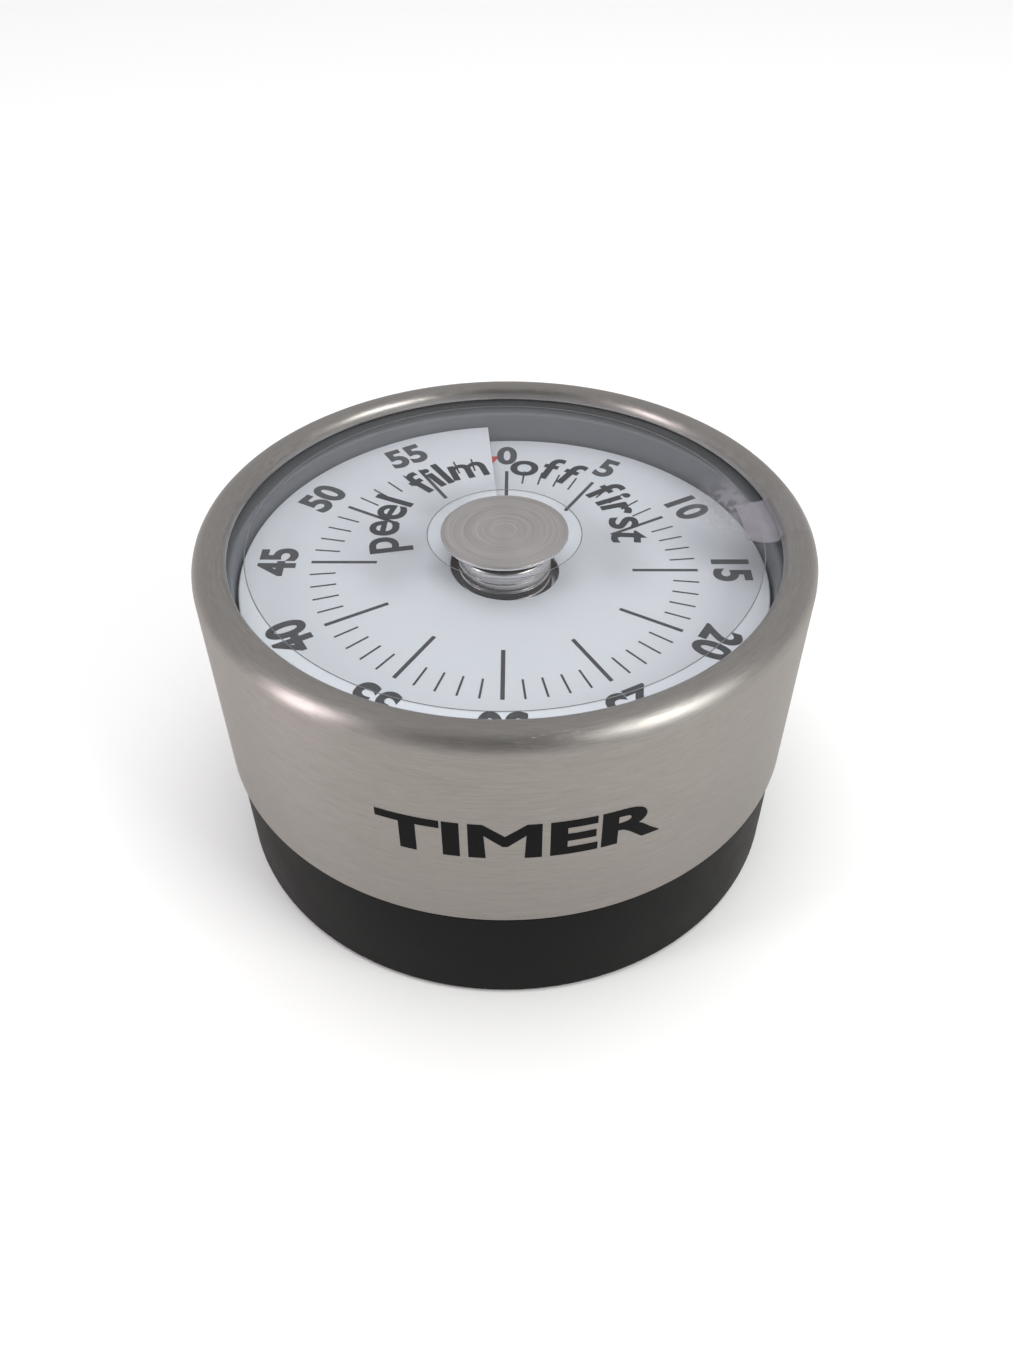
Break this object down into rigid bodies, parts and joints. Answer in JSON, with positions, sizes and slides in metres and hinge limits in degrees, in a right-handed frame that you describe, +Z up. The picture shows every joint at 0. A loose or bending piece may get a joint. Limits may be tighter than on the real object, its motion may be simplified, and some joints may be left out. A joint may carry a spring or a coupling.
{
  "type": "kitchen timer",
  "caption": "Round magnetic wind-up kitchen timer: a brushed steel shell with a clear lens turns on a black base over a printed minute dial with a centre cap.",
  "frame": {"origin": "middle of the underside, on the surface the timer stands on", "axes": "+Z up along the turning axis, -Y to the front where the 30 is, +Y to the back where the zero is"},
  "size_m": [0.06, 0.06, 0.0358],
  "materials": {
    "base_black": "satin black moulded plastic",
    "foot_rubber": "soft black rubber",
    "shell_steel": "finely brushed stainless steel",
    "cap_steel": "spun-brushed stainless steel",
    "liner_grey": "grey moulded plastic",
    "lens_clear": "clear moulded lens",
    "film_clear": "thin clear protective film",
    "hub_chrome": "bright plated",
    "dial_white": "white printed plastic",
    "red_sheet": "red plastic sheet",
    "movement_brass": "stamped brass",
    "movement_steel": "turned steel",
    "spring_steel": "blued spring steel",
    "magnet_black": "sintered ferrite"
  },
  "bodies": {
    "base": {"base_housing": "base_black", "foot_ring": "foot_rubber", "magnet_cup": "movement_steel", "magnet": "magnet_black", "lower_plate": "movement_brass", "upper_plate": "movement_brass", "lower_bush": "movement_brass", "upper_bush": "movement_brass", "pillar_1": "movement_brass", "plate_screw_1": "movement_steel", "base_screw_1": "movement_steel", "pillar_2": "movement_brass", "plate_screw_2": "movement_steel", "base_screw_2": "movement_steel", "pillar_3": "movement_brass", "plate_screw_3": "movement_steel", "base_screw_3": "movement_steel", "spring_barrel": "movement_steel", "mainspring": "spring_steel", "gong": "movement_steel", "gong_post_1": "movement_brass", "gong_screw_1": "movement_steel", "gong_post_2": "movement_brass", "gong_screw_2": "movement_steel", "hammer_post": "movement_steel", "hammer_spring": "spring_steel", "dial": "dial_white"},
    "shell": {"steel_shell": "shell_steel", "liner_ring": "liner_grey", "lens": "lens_clear", "protective_film": "film_clear", "cap": "cap_steel", "drive_hub": "hub_chrome", "hub_pin": "movement_steel", "red_disc": "red_sheet", "main_arbor": "movement_steel", "great_wheel": "movement_brass", "clutch_spring": "spring_steel", "alarm_cam": "movement_brass"},
    "second_train": {"second_arbor": "movement_steel", "second_wheel": "movement_brass"},
    "third_train": {"third_arbor": "movement_steel", "third_wheel": "movement_brass"},
    "escape_train": {"escape_arbor": "movement_steel", "escape_wheel": "movement_brass"},
    "balance": {"balance_arbor": "movement_steel", "pallet_lever": "movement_steel", "balance_wheel": "movement_brass"},
    "hammer": {"hammer_lever": "movement_steel", "hammer_head": "movement_brass"}
  },
  "joints": [
    {"name": "shell_turn", "type": "hinge", "parent": "base", "child": "shell", "pos_m": [0, 0, 0.01], "axis": [0, 0, -1], "range_deg": [0, 354], "deforming": ["red_disc"]},
    {"name": "second_spin", "type": "hinge", "parent": "base", "child": "second_train", "pos_m": [0.01353, 0, 0.01], "axis": [0, 0, -1], "range_deg": [-1560, 2]},
    {"name": "third_spin", "type": "hinge", "parent": "base", "child": "third_train", "pos_m": [0.01086, 0.00966, 0.01], "axis": [0, 0, -1], "range_deg": [-8, 6240]},
    {"name": "escape_spin", "type": "hinge", "parent": "base", "child": "escape_train", "pos_m": [0.00307, 0.0142, 0.01], "axis": [0, 0, -1], "range_deg": [-24960, 30]},
    {"name": "balance_swing", "type": "hinge", "parent": "base", "child": "balance", "pos_m": [-0.00445, 0.0154, 0.01], "axis": [0, 0, -1], "range_deg": [-3, 3]},
    {"name": "hammer_swing", "type": "hinge", "parent": "base", "child": "hammer", "pos_m": [-0.00999, -0.008, 0.01], "axis": [0, 0, -1], "range_deg": [-8, 1.5], "stiffness_Nm_per_rad": 0.002}
  ],
  "couplings": [
    {"joint": "second_spin", "follows": "shell_turn", "ratio": -4.4},
    {"joint": "third_spin", "follows": "shell_turn", "ratio": 17.6},
    {"joint": "escape_spin", "follows": "shell_turn", "ratio": -70.4}
  ]
}
